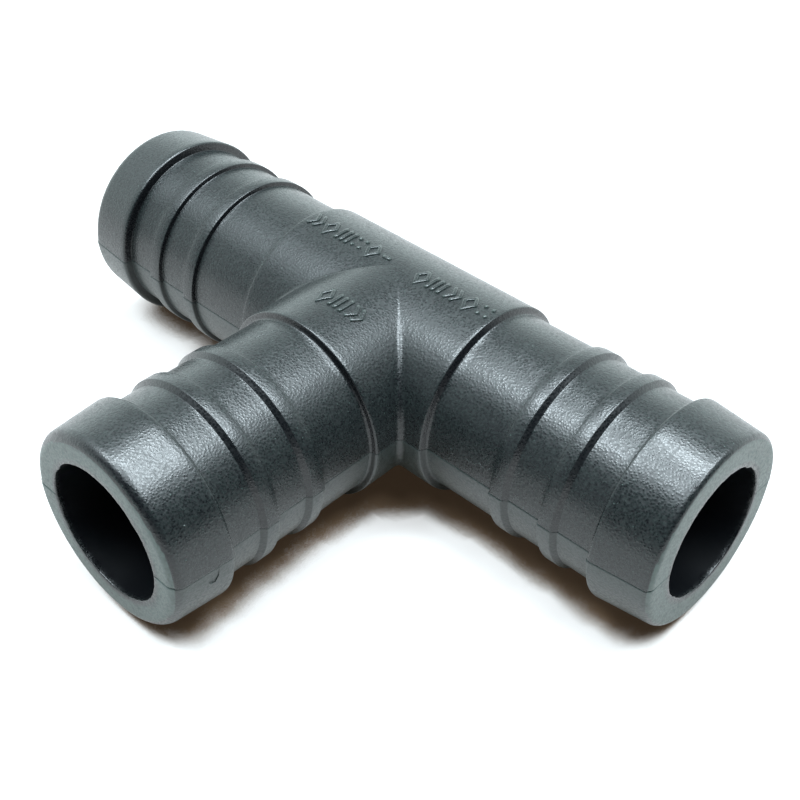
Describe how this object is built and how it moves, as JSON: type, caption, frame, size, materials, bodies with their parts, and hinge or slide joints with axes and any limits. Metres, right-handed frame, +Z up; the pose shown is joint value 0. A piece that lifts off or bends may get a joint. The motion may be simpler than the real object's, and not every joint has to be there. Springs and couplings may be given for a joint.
{
  "type": "barbed tee connector",
  "caption": "Tee-shaped hose connector with a barbed spigot on each arm and open bores that meet in the middle, for branching push-on irrigation hose.",
  "frame": {"origin": "middle of the footprint, on the flat surface that the tee lies on; the run and branch axes cross at (0, 0.0143, 0.011)", "axes": "+X along the run, -Y the way the branch points, +Z up through the parting plane"},
  "size_m": [0.082, 0.0506, 0.022],
  "materials": {
    "glass_filled_nylon": "charcoal-black moulded nylon, fine grain, satin"
  },
  "bodies": {
    "root": {"tee_body": "glass_filled_nylon"}
  },
  "joints": []
}
